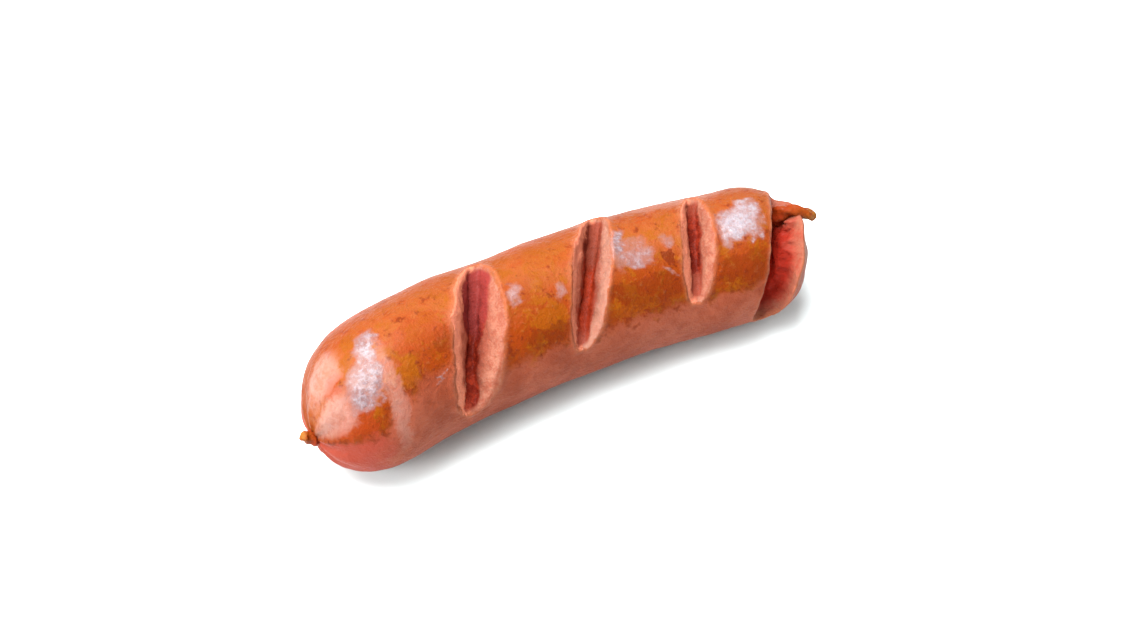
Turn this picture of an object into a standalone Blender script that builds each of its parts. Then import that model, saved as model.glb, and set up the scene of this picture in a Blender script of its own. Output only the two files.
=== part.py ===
"""A plump grilled frankfurter, lying on the ground, slashed four times across its upper side.

Metres, +Z up. The sausage runs along +X, bends gently in plan, and rests on a narrow flat.
It is first modelled straight, as a turned body with its slashes cut, and then bent.
A place on the straight sausage has a station along it and a roll angle round it: the roll
is 0 at the top and grows towards -Y, the side that the slashes face.
"""

import math

import bmesh
import bpy
import numpy as np
from mathutils import Matrix, Vector

# Driving sizes of the body
KNOT_END = -0.0560        # station of the pole with the knot
TAIL_END = 0.0532         # station of the pole at the other end
RADIUS = 0.0147
TAPER = 0.0004            # how much thinner the tail half is than the knot half
KNOT_DOME = (0.0195, 2.2)  # length and bluntness of the rounded end with the knot
TAIL_DOME = (0.0120, 2.6)
BEND_RADIUS = 0.245       # of the bend in plan, whose hollow side is -Y
KNOT_HOOK = (-0.028, 0.0030)  # station where this end starts to turn, how far forward it gets
TAIL_HOOK = (0.030, -0.0011)
FLAT_DEPTH = 0.0004       # how far the underside is pressed flat
GAPE = 8.0                # angle by which the end piece has swung open at the last slash
GAPE_SPAN = 0.0020        # length over which the flesh behind that slash bends
LENGTH = TAIL_END - KNOT_END

# Gentle unevenness of the skin: waves along, waves round, phase and height
SWELLS = (
    (2.6, 1, 0.4, 0.00022),
    (4.3, 2, 2.1, 0.00016),
    (7.1, 1, 4.0, 0.00010),
    (5.2, 3, 5.3, 0.00009),
)
UNDER_SHARE = 0.3         # how much of the waves is left underneath
PLEATS = 9                # gathers of the casing round each tied end
PLEAT_DEPTH = 0.0004
PLEAT_REACH = 0.0055      # how far along from the pole they fade out

# Slashes: station, roll, slant, half of the angle that the blade went round, half of the slit's
# width at the bottom, how much wider each side is at the skin, lean, and whether the end of the
# sausage gapes, so that the opening stays wide to its ends
SLASHES = {
    "slash_1": (-0.0200, 30.0, 28.0, 64.0, 0.0010, 0.0042, 0.22, False),
    "slash_2": (0.0068, 15.0, 29.0, 62.0, 0.0010, 0.0028, 0.20, False),
    "slash_3": (0.0298, 18.0, 17.5, 52.0, 0.0009, 0.0026, 0.15, False),
    "slash_4": (0.0472, 40.0, 19.0, 82.0, 0.0004, 0.0020, 0.00, True),
}
WALL_POWER = 1.8          # how much a slash's walls bulge
UPPER_END = (2.0, 1.0)    # how blunt the opening is at its upper end, its lower end and a gaping one
LOWER_END = (3.0, 0.6)
GAPING_END = (6.0, 0.4)
WALL_LEAN = 0.95          # most that a wall leans out, as a share of the slash's depth there
CUTTER_ABOVE = 0.22       # how far a cutter stands above the skin, as a share of the radius
SHALLOWEST = 0.97         # of the slit's distance from the axis, as a share of the radius
CUTTER_CUTS = 9

# Resolution of the turned body
AROUND = 60
ALONG = 48

KNOT_RADIUS = 0.0013
KNOT_LENGTH = 0.0046
KNOT_DROP = -0.0008       # height of the knot's root above the axis
KNOT_TILT = 38.0          # how far it points upward
TAIL_RADII = (0.0017, 0.0016, 0.0015, 0.0014, 0.0013, 0.0012, 0.0011)
TAIL_ROUTE = (            # from inside the end piece, up and over to the front
    (0.0506, -0.0024, 0.0188),
    (0.0502, -0.0029, 0.0217),
    (0.0511, -0.0037, 0.0232),
    (0.0523, -0.0044, 0.0237),
    (0.0538, -0.0052, 0.0234),
    (0.0554, -0.0060, 0.0226),
    (0.0569, -0.0068, 0.0214),
)

SKIN_COLOUR = (0.62, 0.19, 0.055, 1.0)
SKIN_ROUGHNESS = 0.38


def rounded_end(distance, dome):
    """Share of the full radius at a distance from a pole, on a dome of that length and bluntness."""
    length, power = dome
    u = min(max(distance / length, 0.0), 1.0)
    return (1 - (1 - u) ** power) ** (1 / power)


def full_radius(station):
    """Radius at a station, without the rounded ends."""
    share = 2 * station / LENGTH
    return RADIUS - TAPER * share - TAPER * max(share, 0.0) ** 2


def body_radius(station):
    """Radius of the turned body at a station."""
    ends = rounded_end(station - KNOT_END, KNOT_DOME) * rounded_end(TAIL_END - station, TAIL_DOME)
    return full_radius(station) * ends


def unevenness(station, roll):
    """Height of the skin over the turned body, fading out underneath."""
    height = 0.0
    for along, around, phase, size in SWELLS:
        height += size * math.sin(2 * math.pi * along * station / LENGTH + around * roll + phase)
    height *= (1 + math.cos(roll) + UNDER_SHARE) / (2 + UNDER_SHARE)
    to_pole = min(station - KNOT_END, TAIL_END - station)
    fade = math.exp(-((to_pole / PLEAT_REACH) ** 2))
    return height * (1 - fade) - PLEAT_DEPTH * fade * (0.5 + 0.5 * math.cos(PLEATS * roll))


def smooth_step(value):
    value = min(max(value, 0.0), 1.0)
    return value * value * (3 - 2 * value)


def gaping(point):
    """Swings what lies beyond the last slash open, about the skin at the slash's back."""
    station, roll, slant = SLASHES["slash_4"][:3]
    roll = math.radians(roll)
    towards_blade = Vector((0, -math.sin(roll), math.cos(roll)))
    sideways = Vector((0, -math.cos(roll), -math.sin(roll)))
    beyond = point.x - station + point.dot(sideways) * math.tan(math.radians(slant))
    angle = -math.radians(GAPE) * smooth_step(beyond / GAPE_SPAN)
    pivot = Vector((station, 0, 0)) - towards_blade * body_radius(station)
    return pivot + Matrix.Rotation(angle, 3, sideways) @ (point - pivot)


def hooked(station, end, hook):
    """How far an end bends forward, beyond the even bend, at a station."""
    start, size = hook
    return size * max((station - start) / (end - start), 0.0) ** 2


def bent(point):
    """Takes a point of the straight sausage to its place on the bent one, whose underside is level."""
    angle = point.x / BEND_RADIUS
    hook = hooked(point.x, KNOT_END, KNOT_HOOK) + hooked(point.x, TAIL_END, TAIL_HOOK)
    reach = BEND_RADIUS + point.y - hook
    height = point.z + full_radius(point.x)
    return Vector((reach * math.sin(angle), reach * math.cos(angle) - BEND_RADIUS, height))


def reshaped(obj, rule):
    """Moves every vertex of a mesh object by a rule on its position."""
    for vertex in obj.data.vertices:
        vertex.co = rule(vertex.co.copy())
    obj.data.update()


def linked(name, mesh, collection):
    obj = bpy.data.objects.new(name, mesh)
    collection.objects.link(obj)
    return obj


def applied(obj):
    """Replaces the object's mesh by what its modifiers make of it."""
    graph = bpy.context.evaluated_depsgraph_get()
    graph.update()
    obj.data = bpy.data.meshes.new_from_object(obj.evaluated_get(graph))
    obj.modifiers.clear()
    return obj


def combined(obj, other, operation):
    """Cuts or joins another mesh object, then removes it."""
    boolean = obj.modifiers.new(operation.lower(), "BOOLEAN")
    boolean.object = other
    boolean.operation = operation
    boolean.solver = "EXACT"
    bpy.context.view_layer.update()
    applied(obj)
    bpy.data.objects.remove(other)
    return obj


def turned_body(collection):
    """The straight body: a profile turned about X, closer spaced towards its poles."""
    mesh = bpy.data.meshes.new("body_profile")
    profile = bmesh.new()
    before = None
    for i in range(ALONG + 1):
        station = KNOT_END + LENGTH * (1 + math.cos(math.pi * i / ALONG)) / 2
        vertex = profile.verts.new((body_radius(station), 0, station))
        if before:
            profile.edges.new((before, vertex))
        before = vertex
    profile.to_mesh(mesh)
    profile.free()
    body = linked("sausage", mesh, collection)
    screw = body.modifiers.new("turn", "SCREW")
    screw.steps = screw.render_steps = AROUND
    screw.use_merge_vertices = True
    screw.merge_threshold = 0.00002
    applied(body)
    body.data.transform(Matrix.Rotation(math.pi / 2, 4, "Y"))
    return body


def uneven(point):
    """Lifts or lowers a point of the turned skin by its unevenness."""
    out = Vector((0, point.y, point.z))
    if out.length < 1e-6:
        return point
    roll = math.atan2(-point.y, point.z)
    return point + out.normalized() * unevenness(point.x, roll)


def slash_cutter(name, size, collection):
    """A wedge with bulging walls, in the plane of the blade: a slit at the bottom, a lens at the skin."""
    station, roll, slant, reach, slit, widening, lean, gaping_end = size
    slant, reach = math.radians(slant), math.radians(reach)
    radius = body_radius(station)
    block = bmesh.new()
    bmesh.ops.create_cube(block, size=2)
    bmesh.ops.subdivide_edges(block, edges=block.edges, cuts=CUTTER_CUTS, use_grid_fill=True)
    for vertex in block.verts:
        across, along, rise = vertex.co
        angle = along * reach
        bottom = min(math.cos(reach) / math.cos(angle), SHALLOWEST)
        share = bottom + (1 + CUTTER_ABOVE - bottom) * (rise + 1) / 2
        opened = min((share - bottom) / (1 - bottom), 1.0) ** WALL_POWER + max(share - 1, 0.0)
        power, root = GAPING_END if gaping_end else LOWER_END if along > 0 else UPPER_END
        lens = max(1 - abs(along) ** power, 0.0) ** root
        widest = widening * lens * (1 + lean * along * math.copysign(1, across))
        half = slit + min(widest, WALL_LEAN * (1 - bottom) * radius) * opened
        reached = share * radius
        vertex.co = (across * half, -reached / math.cos(slant) * math.sin(angle),
                     reached * math.cos(angle))
    mesh = bpy.data.meshes.new(name)
    block.to_mesh(mesh)
    block.free()
    cutter = linked(name, mesh, collection)
    cutter.hide_render = True
    cutter.display_type = "WIRE"
    turn = Matrix.Rotation(math.radians(roll), 4, "X") @ Matrix.Rotation(-slant, 4, "Z")
    mesh.transform(Matrix.Translation((station, 0, 0)) @ turn)
    mesh.flip_normals()
    return cutter


def end_knot(collection):
    """The tied stub of casing at the knot end."""
    mesh = bpy.data.meshes.new("knot")
    cone = bmesh.new()
    bmesh.ops.create_cone(cone, cap_ends=True, segments=10, depth=KNOT_LENGTH,
                          radius1=KNOT_RADIUS, radius2=KNOT_RADIUS * 0.7)
    cone.to_mesh(mesh)
    cone.free()
    mesh.transform(Matrix.Translation((0, 0, KNOT_LENGTH * 0.2)))
    mesh.transform(Matrix.Rotation(math.radians(KNOT_TILT) - math.pi / 2, 4, "Y"))
    mesh.transform(Matrix.Translation((KNOT_END, 0, KNOT_DROP)))
    return linked("knot", mesh, collection)


def tail(collection):
    """The twisted end of the casing, rooted in the end piece and bent over to the front."""
    curve = bpy.data.curves.new("tail", "CURVE")
    curve.dimensions = "3D"
    curve.bevel_depth = 1.0
    curve.bevel_resolution = 2
    curve.use_fill_caps = True
    spline = curve.splines.new("POLY")
    spline.points.add(len(TAIL_ROUTE) - 1)
    for place, point, radius in zip(spline.points, TAIL_ROUTE, TAIL_RADII):
        place.co = (*point, 1)
        place.radius = radius
    drawn = linked("tail_curve", curve, collection)
    bpy.context.view_layer.update()
    graph = bpy.context.evaluated_depsgraph_get()
    mesh = bpy.data.meshes.new_from_object(drawn.evaluated_get(graph))
    ends = bmesh.new()
    ends.from_mesh(mesh)
    bmesh.ops.remove_doubles(ends, verts=ends.verts, dist=0.00001)
    ends.to_mesh(mesh)
    ends.free()
    bpy.data.objects.remove(drawn)
    return linked("tail", mesh, collection)


def ground(collection):
    """The block whose top face presses the underside flat."""
    mesh = bpy.data.meshes.new("ground")
    block = bmesh.new()
    bmesh.ops.create_cube(block, size=LENGTH * 1.4)
    block.to_mesh(mesh)
    block.free()
    mesh.transform(Matrix.Translation((0, 0, -LENGTH * 0.7)))
    return linked("ground", mesh, collection)


def skin_material():
    material = bpy.data.materials.new("grilled_casing")
    material.use_nodes = True
    shader = material.node_tree.nodes["Principled BSDF"]
    shader.inputs["Base Color"].default_value = SKIN_COLOUR
    shader.inputs["Roughness"].default_value = SKIN_ROUGHNESS
    shader.inputs["Metallic"].default_value = 0.0
    return material


def build():
    for obj in list(bpy.data.objects):
        bpy.data.objects.remove(obj)
    parts = bpy.data.collections.new("frankfurter")
    cutters = bpy.data.collections.new("cutters")
    for collection in (parts, cutters):
        bpy.context.scene.collection.children.link(collection)

    sausage = turned_body(parts)
    reshaped(sausage, uneven)
    combined(sausage, end_knot(cutters), "UNION")
    for name, size in SLASHES.items():
        combined(sausage, slash_cutter(name, size, cutters), "DIFFERENCE")
    reshaped(sausage, gaping)
    reshaped(sausage, bent)
    combined(sausage, tail(cutters), "UNION")

    sausage.data.transform(Matrix.Translation((0, 0, -FLAT_DEPTH)))
    combined(sausage, ground(cutters), "DIFFERENCE")
    corners = np.array([vertex.co[:] for vertex in sausage.data.vertices])
    centre = (corners.min(0) + corners.max(0)) / 2
    sausage.data.transform(Matrix.Translation((-centre[0], -centre[1], 0)))

    sausage.data.materials.clear()
    sausage.data.materials.append(skin_material())
    sausage.data.shade_smooth()
    sausage.data.set_sharp_from_angle(angle=math.radians(35))


build()
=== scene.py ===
"""A plump grilled frankfurter, slashed four times, lying on a white ground in soft light."""
import math

import bpy
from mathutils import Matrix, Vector


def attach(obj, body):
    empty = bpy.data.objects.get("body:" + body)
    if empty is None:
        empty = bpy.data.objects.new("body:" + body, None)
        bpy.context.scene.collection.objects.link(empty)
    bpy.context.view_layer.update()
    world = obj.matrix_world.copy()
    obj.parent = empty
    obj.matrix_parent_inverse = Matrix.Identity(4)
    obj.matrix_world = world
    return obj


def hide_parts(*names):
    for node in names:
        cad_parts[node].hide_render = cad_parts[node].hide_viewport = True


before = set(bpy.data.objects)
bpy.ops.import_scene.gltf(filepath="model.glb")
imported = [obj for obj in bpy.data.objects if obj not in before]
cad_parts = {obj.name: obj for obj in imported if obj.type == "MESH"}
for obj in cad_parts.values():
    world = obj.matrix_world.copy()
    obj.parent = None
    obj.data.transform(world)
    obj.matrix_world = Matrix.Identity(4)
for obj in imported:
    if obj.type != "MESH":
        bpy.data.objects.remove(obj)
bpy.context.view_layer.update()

# Sizes are in millimetres on the straight sausage, as its solid has them, and angles in degrees.
# A place on it has a station along it and a roll round it: 0 at the top, growing towards -Y.
BOX_MIDDLE = (-0.01, -2.22)     # of the solid, in plan, seen from the bend's own origin
KNOT_END, TAIL_END = -56.0, 53.2
LENGTH = TAIL_END - KNOT_END
RADIUS, TAPER = 14.7, 0.4
KNOT_DOME, TAIL_DOME = (19.5, 2.2), (12.0, 2.6)     # length and power of the rounding
BEND_RADIUS = 245.0
KNOT_HOOK, TAIL_HOOK = (-28.0, 3.0), (30.0, -1.1)   # station where it starts, and how far it goes
FLAT_DEPTH = 0.4
GAPE, GAPE_SPAN, LEAST_SPAN = 8.0, 2.0, 0.5
# Waves along the sausage, waves round it, phase and height
SWELLS = ((2.6, 1, 0.4, 0.22), (4.3, 2, 2.1, 0.16), (7.1, 1, 4.0, 0.10), (5.2, 3, 5.3, 0.09))
UNDER_SHARE = 0.3
PLEATS, PLEAT_DEPTH, PLEAT_REACH = 9, 0.4, 5.5
# Station, roll, slant, half angle of the blade's path, half width of the slit at the bottom, how
# much wider each side is at the skin, lean, and whether the end gapes
SLASHES = (
    (-20.0, 30.0, 28.0, 64.0, 1.0, 4.2, 0.22, False),
    (6.8, 15.0, 29.0, 62.0, 1.0, 2.8, 0.20, False),
    (29.8, 18.0, 17.5, 52.0, 0.9, 2.6, 0.15, False),
    (47.2, 40.0, 19.0, 82.0, 0.4, 2.0, 0.00, True),
)
WALL_POWER, WALL_LEAN, SHALLOWEST = 1.8, 0.95, 0.97
WIDEST_ANGLE = 1.5              # in radians, to keep its cosine above 0
UPPER_END, LOWER_END, GAPING_END = (2.0, 1.0), (3.0, 0.6), (6.0, 0.4)   # powers of the narrowing

# The box that the body is grown in, its number of cells along, across and up, and its relief
BODY_LOW, BODY_HIGH = Vector((-57.5, -19.5, -1.0)), Vector((57.5, 19.5, 31.5))
BODY_CELLS = (288, 97, 81)
BODY_RELIEF = {"Lip": 0.3, "Lumps": 0.25, "Crumb": 0.42, "Wobble": 0.85, "Film": 0.08, "Crinkle": 0.3}
LIP_WIDTH, EDGE_ROUNDING = 0.8, 0.35
LUMP_GRAIN, WOBBLE_GRAIN, CRUMB_GRAIN = 0.16, 0.2, 0.45     # how often they repeat in a millimetre

# The twists of casing
PATH_POINTS, RING_POINTS = 70, 28
LOBES, LOBE_DEPTH, CRUMPLE, BLUNTNESS, LEAST_RADIUS = 3, 0.13, 0.22, 22.0, 0.03


class Wire:
    """A socket that can be reckoned with, in a geometry or a shader tree."""

    def __init__(self, board, socket):
        self.board, self.socket = board, socket

    def __add__(self, other):
        return self.board.maths("ADD", self, other)

    def __sub__(self, other):
        return self.board.maths("SUBTRACT", self, other)

    def __rsub__(self, other):
        return self.board.maths("SUBTRACT", other, self)

    def __mul__(self, other):
        return self.board.maths("MULTIPLY", self, other)

    def __truediv__(self, other):
        return self.board.maths("DIVIDE", self, other)

    def __rtruediv__(self, other):
        return self.board.maths("DIVIDE", other, self)

    def __pow__(self, other):
        return self.board.maths("POWER", self, other)

    def __neg__(self):
        return self * -1.0

    def __abs__(self):
        return self.board.maths("ABSOLUTE", self)

    __radd__, __rmul__ = __add__, __mul__


class Board:
    """A node tree, and the ways of putting nodes on it."""

    def __init__(self, tree):
        self.tree = tree

    def node(self, kind, settings=None, sockets=None, out=0):
        """Adds a node: first its settings, then the values or wires of its sockets."""
        made = self.tree.nodes.new(kind)
        for name, value in (settings or {}).items():
            setattr(made, name, value)
        for name, value in (sockets or {}).items():
            if isinstance(value, Wire):
                self.tree.links.new(value.socket, made.inputs[name])
            else:
                made.inputs[name].default_value = value
        return Wire(self, made.outputs[out]) if len(made.outputs) else None

    def maths(self, operation, *values):
        return self.node("ShaderNodeMath", {"operation": operation}, dict(enumerate(values)))

    def sin(self, value):
        return self.maths("SINE", value)

    def cos(self, value):
        return self.maths("COSINE", value)

    def atan2(self, rise, run):
        return self.maths("ARCTAN2", rise, run)

    def root(self, value):
        return self.maths("SQRT", value)

    def hypot(self, a, b):
        return self.root(a * a + b * b)

    def least(self, first, *others):
        for other in others:
            first = self.maths("MINIMUM", first, other)
        return first

    def most(self, first, *others):
        for other in others:
            first = self.maths("MAXIMUM", first, other)
        return first

    def bell(self, value):
        return self.maths("EXPONENT", -(value * value))

    def smooth(self, value, low, high):
        """0 below low and 1 above high, with an easy way between."""
        return self.node("ShaderNodeMapRange", {"interpolation_type": "SMOOTHSTEP"},
                         {"Value": value, "From Min": low, "From Max": high})

    def vector(self, x, y, z):
        return self.node("ShaderNodeCombineXYZ", {}, {"X": x, "Y": y, "Z": z})

    def parts(self, vector):
        split = self.node("ShaderNodeSeparateXYZ", {}, {"Vector": vector}).socket.node
        return [Wire(self, socket) for socket in split.outputs]

    def noise(self, vector, scale, detail=2.0, roughness=0.5, distortion=0.0):
        """Noise about 0, mostly from -0.5 to 0.5."""
        sockets = {"Vector": vector, "Scale": scale, "Detail": detail, "Roughness": roughness,
                   "Distortion": distortion}
        return (self.node("ShaderNodeTexNoise", {}, sockets) - 0.5) * 2

    def mix(self, mask, first, second):
        """The second colour where the mask is 1."""
        return self.node("ShaderNodeMix", {"data_type": "RGBA"}, {0: mask, 6: first, 7: second}, 2)

    def layered(self, colour, *layers):
        """A colour with others over it in their order, each where its mask is 1."""
        for mask, over in layers:
            colour = self.mix(mask, colour, over)
        return colour


# The sausage's form, as a rule on position

def domes(station):
    """For both ends: how far a station is from the pole, and the dome's length and power."""
    return (station - KNOT_END, *KNOT_DOME), (TAIL_END - station, *TAIL_DOME)


def full_radius(board, station):
    """Radius of the turned body without its domes."""
    share = station * (2 / LENGTH)
    later = board.most(share, 0.0)
    return RADIUS - TAPER * share - TAPER * later * later


def solid_radius(station):
    """Radius of the turned body with its domes, as a number."""
    share = 2 * station / LENGTH
    full = RADIUS - TAPER * share - TAPER * max(share, 0.0) ** 2
    for distance, length, power in domes(station):
        u = min(max(distance / length, 0.0), 1.0)
        full *= (1 - (1 - u) ** power) ** (1 / power)
    return full


def straightened(board, x, y, z):
    """Station, sideways and upward place on the straight sausage, of a place on the bent one."""
    x, y = x + BOX_MIDDLE[0], y + BOX_MIDDLE[1]
    reach = board.hypot(x, y + BEND_RADIUS)
    station = board.atan2(x, y + BEND_RADIUS) * BEND_RADIUS
    for end, (start, size) in ((KNOT_END, KNOT_HOOK), (TAIL_END, TAIL_HOOK)):
        reach = reach + size * board.most((station - start) / (end - start), 0.0) ** 2.0
    side, up = reach - BEND_RADIUS, z + FLAT_DEPTH - full_radius(board, station)
    return closed(board, station, side, up)


def closed(board, station, side, up):
    """Swings the end piece shut again, about the skin at the back of the last slash."""
    start, roll, slant = SLASHES[-1][:3]
    sine, cosine = math.sin(math.radians(roll)), math.cos(math.radians(roll))
    height = solid_radius(start)
    forward = station - start
    out = side * -sine + up * cosine + height
    across = side * -cosine + up * -sine
    beyond = forward + across * math.tan(math.radians(slant))
    span = board.most(GAPE_SPAN + out * math.sin(math.radians(GAPE)), LEAST_SPAN)
    angle = math.radians(GAPE) * board.smooth(beyond / span, 0.0, 1.0)
    shut, lift = board.cos(angle), board.sin(angle)
    new_forward, new_out = forward * shut - out * lift, forward * lift + out * shut - height
    return (new_forward + start, new_out * -sine + across * -cosine, new_out * cosine + across * -sine)


def skin_distance(board, station, side, up):
    """How far a place on the straight sausage is outside its skin."""
    roll = board.atan2(-side, up)
    full = full_radius(board, station)
    share = board.hypot(side, up) / full
    ends = board.most(*[
        (board.most(1 - distance / length, 0.0) ** power + share ** power) ** (1 / power)
        for distance, length, power in domes(station)])
    swell = sum(
        size * board.sin(station * (2 * math.pi * along / LENGTH) + roll * around + phase)
        for along, around, phase, size in SWELLS)
    swell = swell * (board.cos(roll) + 1 + UNDER_SHARE) / (2 + UNDER_SHARE)
    to_pole = board.least(station - KNOT_END, TAIL_END - station)
    fade = board.bell(to_pole / PLEAT_REACH)
    pleats = PLEAT_DEPTH * fade * (board.cos(roll * PLEATS) * 0.5 + 0.5)
    return (ends - 1) * full - swell * (1 - fade) + pleats


class Slash:
    """A slash: where a place is in the plane of its blade, and how wide it is there."""

    def __init__(self, board, row, station, side, up, wobble):
        start, roll, slant, reach, self.slit, widening, lean, gaping = row
        roll, slant, reach = math.radians(roll), math.radians(slant), math.radians(reach)
        self.board, self.radius = board, solid_radius(start)
        forward = station - start
        out = side * -math.sin(roll) + up * math.cos(roll)
        beside = side * math.cos(roll) + up * math.sin(roll)
        self.across = forward * math.cos(slant) - beside * math.sin(slant) + wobble
        along = (forward * math.sin(slant) + beside * math.cos(slant)) * -math.cos(slant)
        angle = board.atan2(along, out)
        self.share = board.hypot(along, out) / self.radius
        self.turn = angle / reach
        self.past_ends = (abs(self.turn) - 1) * (reach * self.radius)
        bottom = math.cos(reach) / board.cos(board.least(abs(angle), WIDEST_ANGLE))
        self.bottom = board.least(bottom, SHALLOWEST)
        leaning = lean * self.turn * board.maths("SIGN", self.across) + 1
        widest = widening * self.narrowed(gaping) * leaning
        self.widest = board.least(widest, WALL_LEAN * self.radius * (1 - self.bottom))

    def narrowed(self, gaping):
        """How wide the slash is on the way to its ends, as a share of its middle."""
        inner = self.board.least(abs(self.turn), 1.0)
        if gaping:
            return (1 - inner ** GAPING_END[0]) ** GAPING_END[1]
        lower = self.board.maths("GREATER_THAN", self.turn, 0.0)
        return ((1 - inner ** LOWER_END[0]) ** LOWER_END[1] * lower
                + (1 - inner ** UPPER_END[0]) ** UPPER_END[1] * (1 - lower))

    def opening(self):
        """How far a place is outside the space that the slash opened."""
        board = self.board
        rise = board.most((self.share - self.bottom) / (1 - self.bottom), 0.0)
        opened = board.least(rise, 1.0) ** WALL_POWER + board.most(self.share - 1, 0.0)
        walls = abs(self.across) - self.slit - self.widest * opened
        floor = (self.bottom - self.share) * self.radius
        return board.most(walls, floor, self.past_ends)

    def rim(self):
        """How far a place on the skin is outside the slash's rim."""
        return self.board.most(abs(self.across) - self.slit - self.widest, self.past_ends)


def nearest_opening(board, slashes):
    """How far a place is outside the nearest slash, and where it is across, along and in which one."""
    opened = cut = None
    for number, slash in enumerate(slashes):
        distance, here = slash.opening(), board.vector(slash.across, slash.turn, number)
        if cut is None:
            opened, cut = distance, here
        else:
            nearer = board.maths("LESS_THAN", distance, opened)
            cut = board.node("ShaderNodeMix", {"data_type": "VECTOR"}, {0: nearer, 4: cut, 5: here}, 1)
            opened = board.least(opened, distance)
    return opened, cut


# The making of pieces

def new_tree(name, inputs):
    """A geometry tree with named inputs. Returns its board and a wire for each input."""
    tree = bpy.data.node_groups.new(name, "GeometryNodeTree")
    tree.interface.new_socket("Geometry", in_out="OUTPUT", socket_type="NodeSocketGeometry")
    for label, kind in inputs.items():
        tree.interface.new_socket(label, in_out="INPUT", socket_type="NodeSocket" + kind)
    board = Board(tree)
    return board, {label: board.node("NodeGroupInput", out=label) for label in inputs}


def close_tree(board, geometry, finish):
    """Ends a tree in real, smoothly shaded geometry with its material."""
    smoothed = board.node("GeometryNodeSetShadeSmooth", {}, {"Geometry": geometry})
    real = board.node("GeometryNodeRealizeInstances", {}, {"Geometry": smoothed})
    dressed = board.node("GeometryNodeSetMaterial", {}, {"Geometry": real, "Material": finish})
    board.node("NodeGroupOutput", {}, {"Geometry": dressed})


def grown(name, board, values):
    """Runs a tree on an empty mesh and keeps what it makes as a plain piece."""
    seed = bpy.data.objects.new(name, bpy.data.meshes.new(name))
    bpy.context.scene.collection.objects.link(seed)
    modifier = seed.modifiers.new("grow", "NODES")
    modifier.node_group = board.tree
    for item in board.tree.interface.items_tree:
        if item.in_out == "INPUT":
            modifier[item.identifier] = values[item.name]
    graph = bpy.context.evaluated_depsgraph_get()
    mesh = bpy.data.meshes.new_from_object(seed.evaluated_get(graph), depsgraph=graph)
    bpy.data.objects.remove(seed)
    mesh.name = name
    piece = bpy.data.objects.new(name, mesh)
    bpy.context.scene.collection.objects.link(piece)
    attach(piece, "root")
    return piece


def body_tree(finish):
    """The meat in its casing: a solid by rule on a fine grid, with its slashes opened."""
    board, given = new_tree("sausage_body", {
        "Cells along": "Int", "Cells across": "Int", "Cells up": "Int", "Lip": "Float", "Lumps": "Float",
        "Crumb": "Float", "Wobble": "Float", "Film": "Float", "Crinkle": "Float"})
    position = board.node("GeometryNodeInputPosition")
    x, y, z = [part * 1000 for part in board.parts(position)]
    station, side, up = straightened(board, x, y, z)
    straight = board.vector(station, side, up)
    roll = board.atan2(-side, up) * (180 / math.pi)
    ground = patch_ground(station, roll, *mottles(board, straight))
    film = patches(board, *ground, BLISTERS_AND_GLARE, *BLISTER_EDGE)
    relief = film * (crinkles(board, straight) * given["Crinkle"] + given["Film"])
    lumps = board.noise(straight, LUMP_GRAIN) * given["Lumps"]
    wobble = board.noise(straight, WOBBLE_GRAIN) * given["Wobble"]
    slashes = [Slash(board, row, station, side, up, wobble) for row in SLASHES]
    rim = board.least(*[slash.rim() for slash in slashes])
    opened, cut = nearest_opening(board, slashes)
    ragged = board.noise(straight, CRUMB_GRAIN, 3.0, 0.6) * given["Crumb"]
    skin = skin_distance(board, station, side, up)
    skin = skin - lumps - relief - board.bell(rim / LIP_WIDTH) * given["Lip"]
    solid = board.maths("SMOOTH_MAX", skin, -(opened + ragged), EDGE_ROUNDING)
    solid = board.most(solid, -z)
    volume = board.node("GeometryNodeVolumeCube", {}, {
        "Density": -solid, "Background": -1.0,
        "Min": tuple(BODY_LOW / 1000), "Max": tuple(BODY_HIGH / 1000),
        "Resolution X": given["Cells along"], "Resolution Y": given["Cells across"],
        "Resolution Z": given["Cells up"]})
    mesh = board.node("GeometryNodeVolumeToMesh", {}, {"Volume": volume, "Threshold": 0.0})
    for name, kind, value in (("depth", "FLOAT", -skin), ("rim", "FLOAT", rim), ("film", "FLOAT", film),
                              ("place", "FLOAT_VECTOR", straight), ("cut", "FLOAT_VECTOR", cut)):
        mesh = board.node("GeometryNodeStoreNamedAttribute", {"data_type": kind},
                          {"Geometry": mesh, "Name": name, "Value": value})
    close_tree(board, mesh, finish)
    return board


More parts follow.
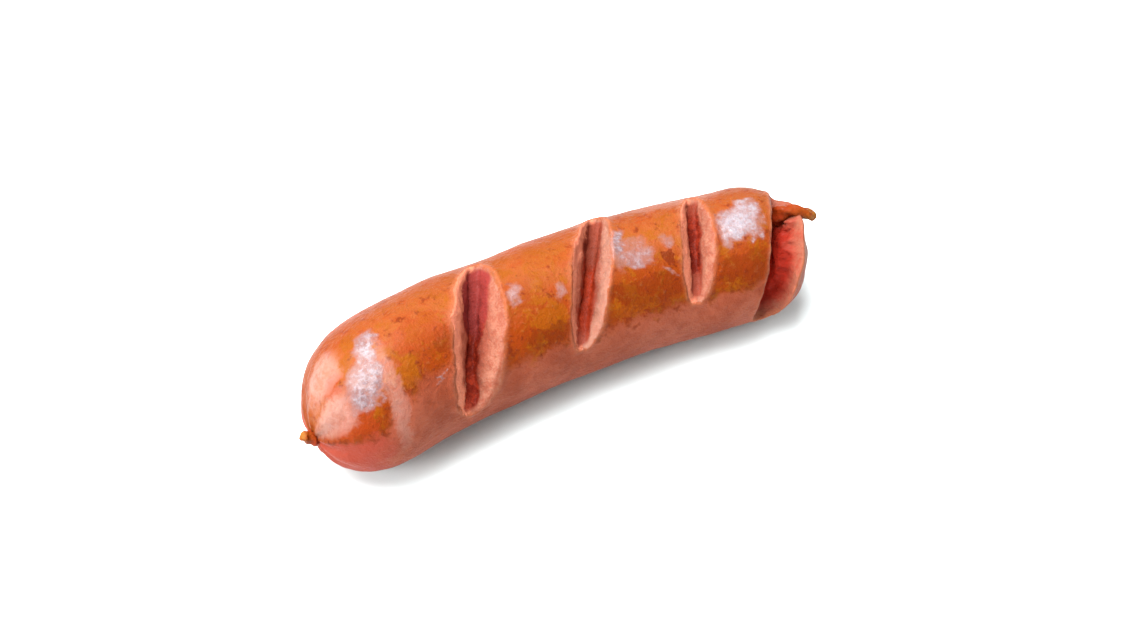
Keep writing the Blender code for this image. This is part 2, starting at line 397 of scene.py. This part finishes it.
def twist_tree(finish):
    """A twist of dried casing: a lobed tube turning about a curved path, thin at its tip."""
    board, given = new_tree("casing_twist", {
        "Root": "Vector", "Root handle": "Vector", "Tip handle": "Vector", "Tip": "Vector",
        "Thick": "Float", "Thin": "Float", "Turns": "Float"})
    path = board.node("GeometryNodeCurvePrimitiveBezierSegment", {}, {
        "Resolution": 90, "Start": given["Root"], "Start Handle": given["Root handle"],
        "End Handle": given["Tip handle"], "End": given["Tip"]})
    path = board.node("GeometryNodeResampleCurve", {"mode": "COUNT"}, {"Curve": path, "Count": PATH_POINTS})
    along = board.node("GeometryNodeSplineParameter")
    here = board.node("GeometryNodeInputPosition")
    blunt = board.root(board.most(1 - along ** BLUNTNESS, 0.0))
    swollen = 1 - board.smooth(along, 0.15, 0.75)
    radius = given["Thin"] + (given["Thick"] - given["Thin"]) * swollen
    radius = radius * (board.noise(here, 700.0) * CRUMPLE + 1)
    radius = board.most(radius * blunt, LEAST_RADIUS)
    path = board.node("GeometryNodeSetCurveTilt", {}, {
        "Curve": path, "Tilt": along * given["Turns"] * (2 * math.pi)})
    ring = board.node("GeometryNodeCurvePrimitiveCircle", {}, {"Resolution": RING_POINTS, "Radius": 0.001})
    x, y = board.parts(here)[:2]
    lobes = board.cos(board.atan2(y, x) * LOBES) * LOBE_DEPTH + 1
    around = board.node("ShaderNodeVectorMath", {"operation": "SCALE"}, {"Vector": here, "Scale": lobes})
    ring = board.node("GeometryNodeSetPosition", {}, {"Geometry": ring, "Position": around})
    tube = board.node("GeometryNodeCurveToMesh", {}, {
        "Curve": path, "Profile Curve": ring, "Scale": radius, "Fill Caps": True})
    to_root, to_tip = [board.node("ShaderNodeVectorMath", {"operation": "DISTANCE"},
                                  {0: here, 1: given[label]}, "Value") for label in ("Root", "Tip")]
    tube = board.node("GeometryNodeStoreNamedAttribute", {"data_type": "FLOAT"}, {
        "Geometry": tube, "Name": "along", "Value": to_root / (to_root + to_tip)})
    close_tree(board, tube, finish)
    return board


# The patches and grains that the form and the finish share

# Patches where the casing has lifted, dried and crinkled, painted pale partly as glare: station, roll, half
# length, half angle, slant in millimetres a degree, strength
BLISTERS_AND_GLARE = (
    (-41.5, 2.0, 2.5, 15.0, -0.10, 1.0),
    (-45.4, 26.0, 4.2, 20.0, -0.07, 1.0),
    (13.4, 4.0, 1.7, 15.0, -0.10, 1.0),
    (15.6, 20.0, 5.0, 10.0, -0.02, 0.72),
    (16.6, 8.0, 3.2, 8.0, -0.04, 0.45),
    (39.6, 12.0, 5.6, 18.0, -0.03, 1.0),
    (42.2, -4.0, 2.8, 9.0, 0.0, 1.0),
    (36.0, 26.0, 1.6, 8.0, -0.03, 0.6),
    (-10.4, 15.0, 1.9, 9.5, -0.05, 0.62),
    (-1.6, 26.0, 1.3, 7.5, -0.05, 0.52),
    (23.5, 13.0, 1.6, 6.0, 0.02, 0.48),
    (-31.0, 48.5, 0.7, 3.5, -0.60, 0.6),
    (21.8, 38.0, 0.6, 5.0, 0.25, 0.55),
)
# Paler skin with no crinkles, partly a painted reflection. This table and those below it have the same
# measures
PALER_AND_REFLECTION = (
    (-41.2, 46.0, 1.7, 42.0, -0.035, 0.6),
    (-50.5, -12.0, 4.0, 17.0, 0.0, 1.0),
    (-52.5, 30.0, 3.8, 22.0, 0.0, 1.0),
    (30.0, -32.0, 9.0, 9.0, 0.0, 0.3),
)
# Skin that browned redder
REDDER = (
    (-49.5, 48.0, 4.0, 14.0, -0.05, 1.0),
    (-50.0, 4.0, 2.0, 8.0, 0.0, 0.8),
    (-31.0, 12.0, 6.0, 12.0, -0.1, 0.5),
    (4.0, 2.0, 4.0, 8.0, 0.0, 0.4),
)
# Skin that browned more yellow, and skin that browned darker
YELLOWER = (
    (-37.0, 36.0, 2.6, 11.0, -0.08, 0.8),
    (-43.2, -15.0, 1.6, 8.0, 0.0, 0.8),
    (-5.5, 42.0, 3.4, 10.0, 0.0, 0.6),
    (-1.0, -8.0, 5.0, 12.0, 0.0, 0.35),
    (13.0, 58.0, 5.0, 6.0, 0.0, 0.4),
)
DARKER = (
    (-26.5, 26.0, 3.0, 10.0, -0.10, 0.5),
    (-6.0, 55.0, 6.0, 7.0, 0.0, 0.55),
    (10.0, 42.0, 2.0, 6.0, 0.0, 0.6),
    (22.6, 27.0, 1.3, 8.0, 0.03, 0.9),
    (17.0, 48.0, 7.0, 11.0, 0.0, 0.5),
    (38.0, 50.0, 6.0, 12.0, -0.06, 0.5),
    (-48.5, 52.0, 3.2, 9.0, 0.0, 0.3),
)
# Torn meat in the wall of the first slash, painted dark as the shade of a small notch that the solid lacks
TORN_NOTCH_SHADE = ((-22.0, 46.0, 1.5, 6.0, -0.08, 0.85),)

# Where a patch starts to fade and where it is gone, as shares of its oval
PATCH_EDGE, BLISTER_EDGE, PALER_EDGE = (0.75, 1.15), (-0.35, 1.5), (-0.9, 2.0)


def mottles(board, place):
    """The three grains of unevenness that the skin's colours and patches share, the coarsest first."""
    return (board.noise(place, 0.27, 4.0, 0.6, 0.4), board.noise(place, 0.55, 3.0, 0.6),
            board.noise(place, 1.1, 3.0, 0.6, 0.3))


def crinkles(board, place):
    """The crinkled face of a dried film."""
    return board.noise(place, 0.95, 3.0, 0.6, 0.25)


def patch_ground(station, roll, clouds, middling, small):
    """A place as the patches see it, so that they wander off their plain ovals, and its raggedness."""
    return (station + clouds * 1.8 + small * 0.8, roll + middling * 9 + clouds * 6,
            clouds * 0.4 + middling * 0.5 + small * 0.45)


def patches(board, station, roll, ragged, rows, solid=PATCH_EDGE[0], gone=PATCH_EDGE[1]):
    """How much of a patch a place is in, from 0 to 1: blunt ovals with ragged edges."""
    spots = []
    for start, turn, half, width, slant, strength in rows:
        off_along = (station - start - (roll - turn) * slant) / half
        off_round = (roll - turn) / width
        off_along, off_round = off_along * off_along, off_round * off_round
        inside = off_along * board.root(off_along) + off_round * board.root(off_round)
        spots.append((1 - board.smooth(inside + ragged, solid, gone)) * strength)
    return board.most(*spots)


# Finishes

LIGHT = 3.4     # how many times brighter than its own colour a surface looks in the studio's light


def tint(red, green, blue):
    """The colour of a surface that looks like this display colour, from 0 to 255, in this light.

    A value above 255 is for a surface in the shade, and still reflects less than half of the light.
    """
    def linear(value):
        value /= 255
        return (value / 12.92 if value <= 0.04045 else ((value + 0.055) / 1.055) ** 2.4) / LIGHT
    return (linear(red), linear(green), linear(blue), 1.0)


RAW_DARK, RAW_PALE, RAW_RED = tint(198, 93, 60), tint(225, 118, 85), tint(226, 96, 72)
# The amber of the top is lighter partly as a painted sheen
AMBER_TOP_AND_SHEEN, AMBER_LOW, AMBER_RED = tint(210, 110, 50), tint(186, 76, 8), tint(206, 78, 24)
AMBER_YELLOW, AMBER_DARK, AMBER_LIGHT = tint(198, 108, 8), tint(142, 48, 8), tint(222, 128, 70)
# Painted shade: a darker amber over the top onto the far side
AMBER_BACK_SHADE = tint(184, 78, 22)
# The pale skin colour is partly a painted reflection
SPECK, PALE_SKIN_AND_REFLECTION, RIM = tint(130, 50, 24), tint(252, 194, 178), tint(240, 146, 108)
# The films' pale and white colours are partly painted glare on the crinkled casing
FILM_GREY, FILM_WHITE_GLARE, FILM_PINK = tint(166, 139, 146), tint(209, 191, 199), tint(200, 138, 127)
FILM_BRIGHT_GLARE = tint(236, 232, 244)
# The lower wall colour is partly painted shade deep in the slashes, partly redder meat
WALL_DEEP, WALL_PALE, WALL_LOW_SHADED = tint(214, 120, 94), tint(232, 154, 126), tint(206, 96, 72)
# Painted light: a brighter wall colour for the walls that lie in shade
WALL_PAINTED_LIGHT, WALL_PINK = tint(320, 192, 150), tint(232, 180, 158)
# The dark slit colour is painted shade at the bottom of the slits, with the redder meat there
SLIT_SHADED, SLIT_RED, SLIT_ROSY = tint(164, 44, 24), tint(222, 74, 44), tint(196, 74, 68)
SLIT_TAN, SLIT_WARM = tint(196, 90, 66), tint(255, 90, 46)
END_PALE, END_RED, END_DARK = tint(226, 132, 104), tint(240, 66, 46), tint(214, 56, 36)
# Painted light: a brighter red deep in the end's gap, against its shade
END_DEEP_PAINTED_LIGHT = tint(310, 84, 54)
FLECK, FAT = tint(150, 54, 36), tint(246, 186, 160)
TWIST_ROOT, TWIST_MIDDLE, TWIST_TIP = tint(212, 66, 24), tint(196, 84, 16), tint(212, 134, 50)
GROUND_DULL, GROUND_BRIGHT = (0.63, 0.68, 0.685, 1.0), (0.65, 0.70, 0.705, 1.0)

# How far round the heat reached from above: the middle of the browned skin, its half angle, and how
# much less that is between the knot and the first slash
BROWNED_MIDDLE, BROWNED_REACH, BROWNED_DIP = 2, 66, 20


def new_material(name, **uniform):
    """A material, its board and its shader, with the values that are the same all over."""
    made = bpy.data.materials.new(name)
    made.use_nodes = True
    shader = made.node_tree.nodes["Principled BSDF"]
    for key, value in uniform.items():
        shader.inputs[key.replace("_", " ")].default_value = value
    return made, Board(made.node_tree), shader


def feed(board, shader, **wires):
    for key, wire in wires.items():
        board.tree.links.new(wire.socket, shader.inputs[key.replace("_", " ")])


def attribute(board, name, out="Fac"):
    return board.node("ShaderNodeAttribute", {"attribute_name": name}, {}, out)


class Spot:
    """A place on the sausage, as its finish sees it: where it is, and the grains of unevenness there."""

    def __init__(self, board):
        place = attribute(board, "place", "Vector")
        self.depth, self.rim, self.film = [attribute(board, name) for name in ("depth", "rim", "film")]
        self.across, self.turn, self.number = board.parts(attribute(board, "cut", "Vector"))
        self.station, self.side, up = board.parts(place)
        self.roll = board.atan2(-self.side, up) * (180 / math.pi)
        self.wide = board.noise(place, 0.10, 3.0, 0.55)
        self.clouds, self.middling, self.small = mottles(board, place)
        self.fine = board.noise(place, 2.4, 3.0, 0.6)
        self.speckle = board.noise(place, 4.2, 2.0, 0.6)
        self.crinkle = crinkles(board, place)
        self.ground = patch_ground(self.station, self.roll, self.clouds, self.middling, self.small)
        self.ragged = self.ground[2]


def by_slash(board, number, *values):
    """A value for each slash in turn. The last one also serves the slashes after it."""
    chosen = values[0]
    for place, value in enumerate(values[1:], 1):
        chosen = board.smooth(number, place - 0.6, place - 0.4) * (value - values[place - 1]) + chosen
    return chosen


def browning(board, at):
    """How brown the heat from above has made the skin, and the dark crust near the brown's edge."""
    dip = board.smooth(at.station, -46.5, -42.0) * (1 - board.smooth(at.station, -27.0, -21.0))
    edge = BROWNED_REACH - dip * BROWNED_DIP + at.wide * 12 + at.clouds * 12 + at.middling * 8
    off_middle = abs(at.roll - BROWNED_MIDDLE)
    browned = 1 - board.smooth(off_middle, edge - 7, edge + 6)
    crust = board.bell((off_middle - edge + 4) / 7) * board.smooth(at.middling + at.small * 0.5, -0.1, 0.3)
    return browned, crust


def raw_skin(board, at):
    """Skin that the heat didn't reach: dull pink, and rosier towards the knot."""
    rosy_end = 1 - board.smooth(at.station + at.clouds * 5, -50.0, -42.0)
    return board.layered(
        RAW_DARK,
        (board.smooth(at.clouds * 0.5 + at.middling * 0.4 + at.wide, -0.4, 0.4), RAW_PALE),
        (rosy_end * (board.smooth(-at.side, -9.0, 4.0) * 0.65 + 0.35), RAW_RED))


def brown_skin(board, at):
    """Amber skin, lighter on top partly as a painted sheen, darker over the top onto the far side as
    painted shade, and with clouds and patches that are redder, yellower, darker or lighter.
    """
    return board.layered(
        AMBER_TOP_AND_SHEEN,
        # Lighter on top, partly a painted sheen, and darker lower down
        (board.smooth(at.roll + at.wide * 20 + at.clouds * 16, -6.0, 40.0), AMBER_LOW),
        (board.smooth(-at.clouds + at.middling * 0.5, -0.05, 0.35) * 0.55, AMBER_RED),
        (board.smooth(at.clouds + at.small * 0.35 - at.wide * 0.2, 0.04, 0.30) * 0.65, AMBER_YELLOW),
        (board.smooth(at.middling + at.fine * 0.3 - at.clouds * 0.4, 0.12, 0.40) * 0.7, AMBER_DARK),
        (board.smooth(at.small - at.middling * 0.3, 0.14, 0.40) * 0.35, AMBER_LIGHT),
        (patches(board, *at.ground, YELLOWER) * 0.85, AMBER_YELLOW),
        (patches(board, *at.ground, DARKER) * 0.85, AMBER_DARK),
        (patches(board, *at.ground, REDDER) * 0.8, AMBER_RED),
        # Painted shade, darker over the top onto the far side
        (board.smooth(-at.roll + at.clouds * 12, -4.0, 44.0) * 0.75, AMBER_BACK_SHADE))


def bare_skin(board, at, browned, crust):
    """The casing without its films and rims."""
    station, roll, ragged = at.ground
    paler_and_reflection = patches(board, station, roll, ragged * 0.5, PALER_AND_REFLECTION, *PALER_EDGE)
    broken = board.smooth(at.clouds * 0.9 + at.middling * 0.8 + at.small * 0.4, -0.5, 0.3) * 0.5 + 0.5
    return board.layered(
        raw_skin(board, at),
        (browned, brown_skin(board, at)),
        (crust * 0.5, AMBER_DARK),
        (board.smooth(at.speckle + at.fine * 0.4, 0.34, 0.60) * 0.2, SPECK),
        # Paler patches, partly a painted reflection
        (paler_and_reflection * broken, PALE_SKIN_AND_REFLECTION))


def dried_film_and_glare(board, at):
    """A lifted, crinkled film, pale partly as painted glare: whiter on its crests and on the patches
    towards the tail end, and pink where it is thin enough to see through.
    """
    thin = board.smooth(at.clouds * 0.6 - at.crinkle * 0.6 + at.middling * 0.4 - at.film * 0.8, -0.9, -0.1)
    return board.layered(
        FILM_GREY,
        (board.smooth(at.crinkle + at.fine * 0.4 + at.small * 0.3, -0.35, 0.35), FILM_WHITE_GLARE),
        # Painted glare: whiter still on the patches towards the tail end
        (board.smooth(at.station, 28.0, 34.0) * 0.6, FILM_BRIGHT_GLARE),
        (thin * 0.85, FILM_PINK))


def slash_wall(board, at):
    """The pale bulging walls of the slashes, redder and duller deep down partly as painted shade, and
    brighter with painted light on the walls that face away from the light.
    """
    return board.layered(
        WALL_DEEP,
        (board.smooth(at.middling + at.fine * 0.6, -0.4, 0.4), WALL_PALE),
        (by_slash(board, at.number, 0.0, 0.38, 0.0), WALL_PINK),
        # Painted light on the walls that face away from the light
        (board.smooth(-at.across, -0.3, 0.6) * 0.85, WALL_PAINTED_LIGHT),
        # Redder and duller deep down: partly painted shade
        (board.smooth(at.depth + at.middling * 2, 1.8, 4.6) * 0.7, WALL_LOW_SHADED))


def slash_slit(board, at):
    """Where the slit is, and its colour, painted dark as the shade at its bottom and the redder meat there:
    rosier to its upper end and closed at its lower end.
    """
    wander = at.clouds * 0.5 + at.middling * 0.5 + at.small * 0.5
    upper = by_slash(board, at.number, -0.12, -0.38, -0.80)
    lower = by_slash(board, at.number, 0.98, 0.86, 0.55)
    rosy = 1 - board.smooth(at.turn + wander * 0.3, upper - 0.2, upper + 0.2)
    healed = board.smooth(at.turn + wander * 0.1, lower - 0.08, lower + 0.1)
    width = by_slash(board, at.number, 1.05, 1.05, 0.9) + rosy * by_slash(board, at.number, 1.1, 0.3, 0.0)
    slit = 1 - board.smooth(abs(at.across + wander * 0.5), width + wander * 0.4, width + 0.6 + wander)
    colour = board.layered(
        # Painted shade, with redder meat, down in the slit
        SLIT_SHADED,
        (board.smooth(at.clouds + at.small * 0.7, -0.15, 0.35), SLIT_RED),
        (by_slash(board, at.number, 0.0, 0.45, 0.0), SLIT_WARM),
        (rosy, board.mix(board.smooth(at.number, 0.4, 0.6), SLIT_ROSY, SLIT_TAN)),
        (healed, WALL_LOW_SHADED))
    return slit * board.smooth(at.depth, 0.5, 1.3), colour


def end_meat(board, at):
    """The red meat where the end piece gapes, brightened deep down with painted light against the shade
    there.
    """
    return board.layered(
        END_PALE,
        (board.smooth(at.depth + at.middling, 0.7, 4.0), END_RED),
        (board.smooth(at.clouds + at.small * 0.6, -0.1, 0.4) * 0.4, END_DARK),
        # Painted light, brighter deep in the gap
        (board.smooth(at.depth + at.clouds, 3.0, 7.5) * 0.8, END_DEEP_PAINTED_LIGHT))


def opened_meat(board, at, in_last):
    """The meat that the slashes opened, with its flecks and its fat."""
    notch_shade = patches(board, at.station, at.roll, at.ragged * 1.4, TORN_NOTCH_SHADE)
    return board.layered(
        slash_wall(board, at),
        slash_slit(board, at),
        # Painted shade of a small notch in the first slash's wall
        (notch_shade * board.smooth(at.depth, 0.8, 1.6), SLIT_SHADED),
        (in_last, end_meat(board, at)),
        (board.smooth(at.speckle + at.fine * 0.5, 0.36, 0.62) * 0.45, FLECK),
        (board.smooth(-at.speckle + at.fine * 0.3, 0.40, 0.62) * 0.5, FAT))


def skin_and_meat():
    """Browned, oily casing with its dried films, and pale pink meat where the slashes opened it, with
    painted glare, light and shade in its colours.
    """
    made, board, shader = new_material(
        "grilled_skin_and_meat", Specular_IOR_Level=0.04, Subsurface_Weight=0.12,
        Subsurface_Radius=(0.0030, 0.0010, 0.0005), Subsurface_Scale=1.0, Coat_Roughness=0.2, Coat_IOR=1.45)
    at = Spot(board)
    small, fine, middling, speckle, crinkle = at.small, at.fine, at.middling, at.speckle, at.crinkle
    browned, crust = browning(board, at)
    # Where the lifted, crinkled films lie; their colour is partly painted glare
    blister_and_glare = board.smooth(at.film + small * 0.35 + fine * 0.2 + crinkle * 0.2, 0.1, 1.1)
    in_last = board.smooth(at.number, 2.4, 2.6)
    skin_edge = board.bell(at.rim / 0.6) * (small * 0.4 + 0.5 + in_last * 0.3)
    flesh = board.smooth(small * 0.3 + fine * 0.2 - at.rim, -0.1, 0.2) * board.smooth(at.depth, -0.1, 0.1)
    colour = board.layered(
        bare_skin(board, at, browned, crust),
        (board.smooth(at.film + small * 0.2, 0.0, 0.55) * 0.6, FILM_PINK),
        (blister_and_glare * 0.92, dried_film_and_glare(board, at)),
        (skin_edge, RIM),
        (flesh, opened_meat(board, at, in_last)))
    roughness = 0.46 + flesh * 0.14 - blister_and_glare * 0.12 + middling * 0.08
    coat = (1 - flesh) * (blister_and_glare * 0.35 + browned * 0.04) + flesh * 0.03
    height = (small * 0.10 + fine * 0.05 + speckle * 0.012 + middling * 0.08) \
        + blister_and_glare * (crinkle * 0.12 + fine * 0.04) + flesh * (fine * 0.06 + speckle * 0.03)
    bump = board.node("ShaderNodeBump", {}, {"Strength": 1.0, "Distance": 0.001, "Height": height})
    feed(board, shader, Base_Color=colour, Roughness=roughness, Coat_Weight=coat, Normal=bump)
    return made


def dried_casing():
    """The twisted ends of the casing: red at the root, brown along it and amber at the tip."""
    made, board, shader = new_material(
        "dried_casing", Specular_IOR_Level=0.06, Coat_Roughness=0.3, Subsurface_Weight=0.1,
        Subsurface_Radius=(0.002, 0.0008, 0.0004), Subsurface_Scale=1.0)
    place = board.node("ShaderNodeTexCoord", {}, {}, "Object")
    mottle = board.noise(place, 700.0, 3.0, 0.6)
    fine = board.noise(place, 2600.0, 3.0, 0.6)
    along = attribute(board, "along") + mottle * 0.3
    colour = board.layered(
        TWIST_ROOT,
        (board.smooth(along, 0.15, 0.7), TWIST_MIDDLE),
        (board.smooth(along, 0.65, 0.95), TWIST_TIP))
    bump = board.node("ShaderNodeBump", {}, {
        "Strength": 0.8, "Distance": 0.001, "Height": mottle * 0.25 + fine * 0.1})
    feed(board, shader, Base_Color=colour, Roughness=0.5 + fine * 0.3, Coat_Weight=0.06 + mottle * 0.1,
         Normal=bump)
    return made


def ground_finish():
    made, board, shader = new_material("white_ground", Roughness=0.9, Specular_IOR_Level=0.0)
    grain = board.noise(board.node("ShaderNodeTexCoord", {}, {}, "Object"), 60.0)
    feed(board, shader, Base_Color=board.mix(grain + 0.5, GROUND_DULL, GROUND_BRIGHT))
    return made


# The studio, in metres and degrees: softboxes have a place, a size and a strength

GROUND_REACH = 3.0
ROOM_LIGHT = 0.62
SOFTBOXES = (
    ("overhead_softbox", (-0.16, 0.12, 0.68), (0.62, 0.52), 20.0),
    ("left_softbox", (-0.70, -0.14, 0.45), (0.40, 0.40), 8.0),
    ("right_softbox", (0.70, -0.25, 0.55), (0.50, 0.50), 1.5),
)
CAMERA_AZIMUTH, CAMERA_ELEVATION, CAMERA_DISTANCE = -26.15, 50.0, 0.3369
# These are in millimetres, the aim from the bend's own origin
CAMERA_AIM = (6.8, 7.0)
FOCAL_LENGTH, SENSOR_WIDTH = 50.0, 36.0


def metres(x, y, z):
    """A place given from the bend's own origin in millimetres, in the object's frame."""
    return ((x - BOX_MIDDLE[0]) / 1000, (y - BOX_MIDDLE[1]) / 1000, (z - FLAT_DEPTH) / 1000)


def aimed(thing, name, place, away):
    """Puts a light or a camera at a place, looking against the direction given."""
    holder = bpy.data.objects.new(name, thing)
    holder.location = place
    holder.rotation_mode = "QUATERNION"
    holder.rotation_quaternion = away.to_track_quat("Z", "Y")
    bpy.context.scene.collection.objects.link(holder)
    return holder


def stage_and_light():
    r = GROUND_REACH
    mesh = bpy.data.meshes.new("ground")
    mesh.from_pydata([(-r, -r, 0), (r, -r, 0), (r, r, 0), (-r, r, 0)], [], [(0, 1, 2, 3)])
    mesh.materials.append(ground_finish())
    ground = bpy.data.objects.new("ground", mesh)
    bpy.context.scene.collection.objects.link(ground)
    world = bpy.data.worlds.new("studio")
    world.use_nodes = True
    world.node_tree.nodes["Background"].inputs["Color"].default_value = (1, 1, 1, 1)
    world.node_tree.nodes["Background"].inputs["Strength"].default_value = ROOM_LIGHT
    bpy.context.scene.world = world
    for name, place, size, energy in SOFTBOXES:
        lamp = bpy.data.lights.new(name, "AREA")
        lamp.shape, lamp.size, lamp.size_y, lamp.energy = "RECTANGLE", *size, energy
        aimed(lamp, name, place, Vector(place))


def camera():
    azimuth, elevation = math.radians(CAMERA_AZIMUTH), math.radians(CAMERA_ELEVATION)
    back = Vector((math.sin(azimuth) * math.cos(elevation), -math.cos(azimuth) * math.cos(elevation),
                   math.sin(elevation)))
    data = bpy.data.cameras.new("camera")
    data.lens, data.sensor_width = FOCAL_LENGTH, SENSOR_WIDTH
    data.clip_start, data.clip_end = 0.01, 20
    aim = Vector(metres(*CAMERA_AIM, FLAT_DEPTH))
    bpy.context.scene.camera = aimed(data, "camera", aim + back * CAMERA_DISTANCE, back)


fineness = 1.0
cells = [int(count * fineness) for count in BODY_CELLS]
body = grown("sausage_body", body_tree(skin_and_meat()), {
    "Cells along": cells[0], "Cells across": cells[1], "Cells up": cells[2], **BODY_RELIEF})
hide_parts("sausage")
twist = twist_tree(dried_casing())
grown("tail_of_casing", twist, {
    "Root": metres(50.6, -2.4, 18.8), "Root handle": metres(48.9, -3.0, 24.2),
    "Tip handle": metres(53.6, -5.0, 25.1), "Tip": metres(57.0, -6.8, 21.4),
    "Thick": 1.75, "Thin": 1.12, "Turns": 1.1})
grown("knot_of_casing", twist, {
    "Root": metres(-54.4, -9.1, 14.9), "Root handle": metres(-55.3, -9.3, 15.6),
    "Tip handle": metres(-56.2, -9.4, 16.5), "Tip": metres(-56.9, -9.5, 17.5),
    "Thick": 1.5, "Thin": 1.05, "Turns": 0.6})
stage_and_light()
camera()
bpy.context.scene.view_settings.view_transform = "Standard"
